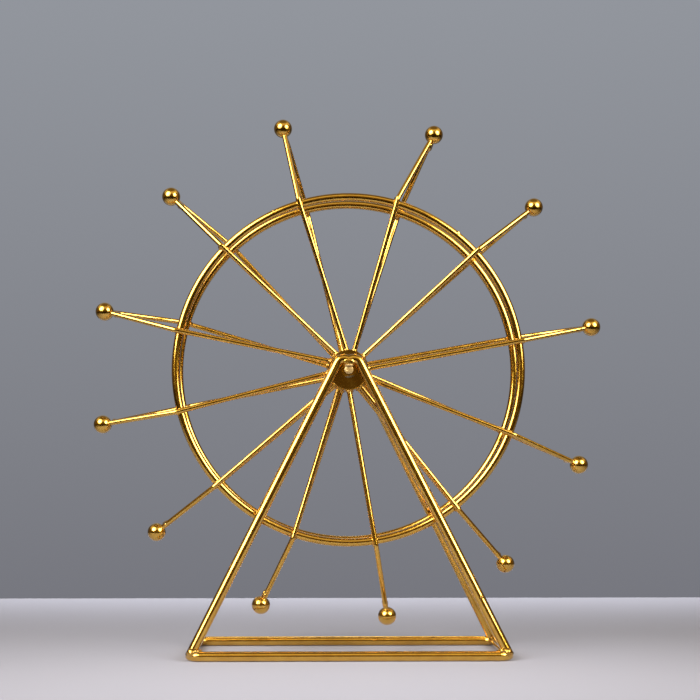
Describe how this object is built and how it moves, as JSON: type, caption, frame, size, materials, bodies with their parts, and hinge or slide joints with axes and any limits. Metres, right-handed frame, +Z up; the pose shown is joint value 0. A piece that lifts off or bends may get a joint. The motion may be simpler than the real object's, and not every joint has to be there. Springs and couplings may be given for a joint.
{
  "type": "tabletop ferris wheel ornament",
  "caption": "Gold wire ferris wheel ornament: an open A-frame stand on a rectangular base loop carries a double-rimmed wheel with ball-tipped arms that turns freely by hand.",
  "frame": {"origin": "on the table, under the middle of the wheel and in the middle of the base loop", "axes": "+X to the viewer's right, +Y from the front to the back along the wheel's axis, +Z up"},
  "size_m": [0.2816, 0.0724, 0.2963],
  "materials": {
    "stand_wire": "semi-gloss metallic gold lacquer over bent iron wire",
    "axle": "semi-gloss metallic gold lacquer over iron rod",
    "hub": "semi-gloss metallic gold lacquer over turned steel",
    "rim_wire": "semi-gloss metallic gold lacquer over iron wire",
    "spoke_wire": "semi-gloss metallic gold lacquer over thin iron wire",
    "ball": "semi-gloss metallic gold lacquer over steel ball"
  },
  "bodies": {
    "stand": {"base_loop": "stand_wire", "front_a_frame": "stand_wire", "rear_a_frame": "stand_wire", "axle_rod": "axle"},
    "wheel": {"hub_drum": "hub", "hub_sleeve": "hub", "front_rim": "rim_wire", "rear_rim": "rim_wire", "front_spoke_01": "spoke_wire", "front_spoke_02": "spoke_wire", "front_spoke_03": "spoke_wire", "front_spoke_04": "spoke_wire", "front_spoke_05": "spoke_wire", "front_spoke_06": "spoke_wire", "front_spoke_07": "spoke_wire", "front_spoke_08": "spoke_wire", "front_spoke_09": "spoke_wire", "front_spoke_10": "spoke_wire", "front_spoke_11": "spoke_wire", "front_spoke_12": "spoke_wire", "rear_spoke_01": "spoke_wire", "rear_spoke_02": "spoke_wire", "rear_spoke_03": "spoke_wire", "rear_spoke_04": "spoke_wire", "rear_spoke_05": "spoke_wire", "rear_spoke_06": "spoke_wire", "rear_spoke_07": "spoke_wire", "rear_spoke_08": "spoke_wire", "rear_spoke_09": "spoke_wire", "rear_spoke_10": "spoke_wire", "rear_spoke_11": "spoke_wire", "rear_spoke_12": "spoke_wire", "ball_01": "ball", "ball_02": "ball", "ball_03": "ball", "ball_04": "ball", "ball_05": "ball", "ball_06": "ball", "ball_07": "ball", "ball_08": "ball", "ball_09": "ball", "ball_10": "ball", "ball_11": "ball", "ball_12": "ball"}
  },
  "joints": [
    {"name": "wheel_spin", "type": "hinge", "parent": "stand", "child": "wheel", "pos_m": [0, 0, 0.1567], "axis": [0, 1, 0], "continuous": true}
  ]
}
